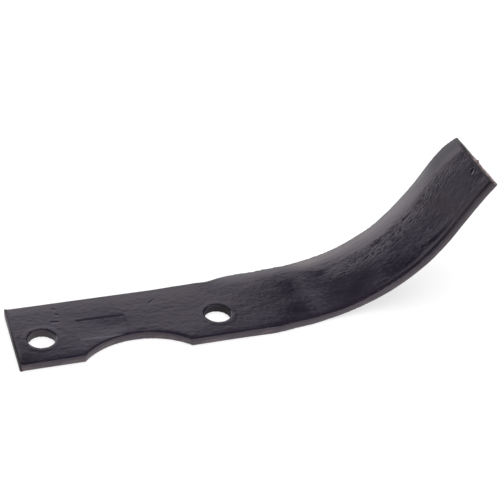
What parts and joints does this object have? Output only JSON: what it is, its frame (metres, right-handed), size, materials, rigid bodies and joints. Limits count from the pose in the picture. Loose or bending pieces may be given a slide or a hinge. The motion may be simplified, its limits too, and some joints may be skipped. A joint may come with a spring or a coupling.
{
  "type": "rotary tiller blade",
  "caption": "Bent rotary tiller blade of flat steel bar: notched shank with bolt holes, drawn-out bevelled cutting edge and an upswept, sheared tip.",
  "frame": {"origin": "on the axis of the end bolt hole, in the plane of the underside that seats on the rotor flange", "axes": "+X along the bar from the end bolt hole to the tip, +Y across it to the cutting edge, +Z out of the top face, the way the tip is bent"},
  "size_m": [0.2391, 0.0534, 0.073],
  "materials": {
    "blade_paint": "satin"
  },
  "bodies": {
    "root": {"tiller_blade": "blade_paint"}
  },
  "joints": []
}
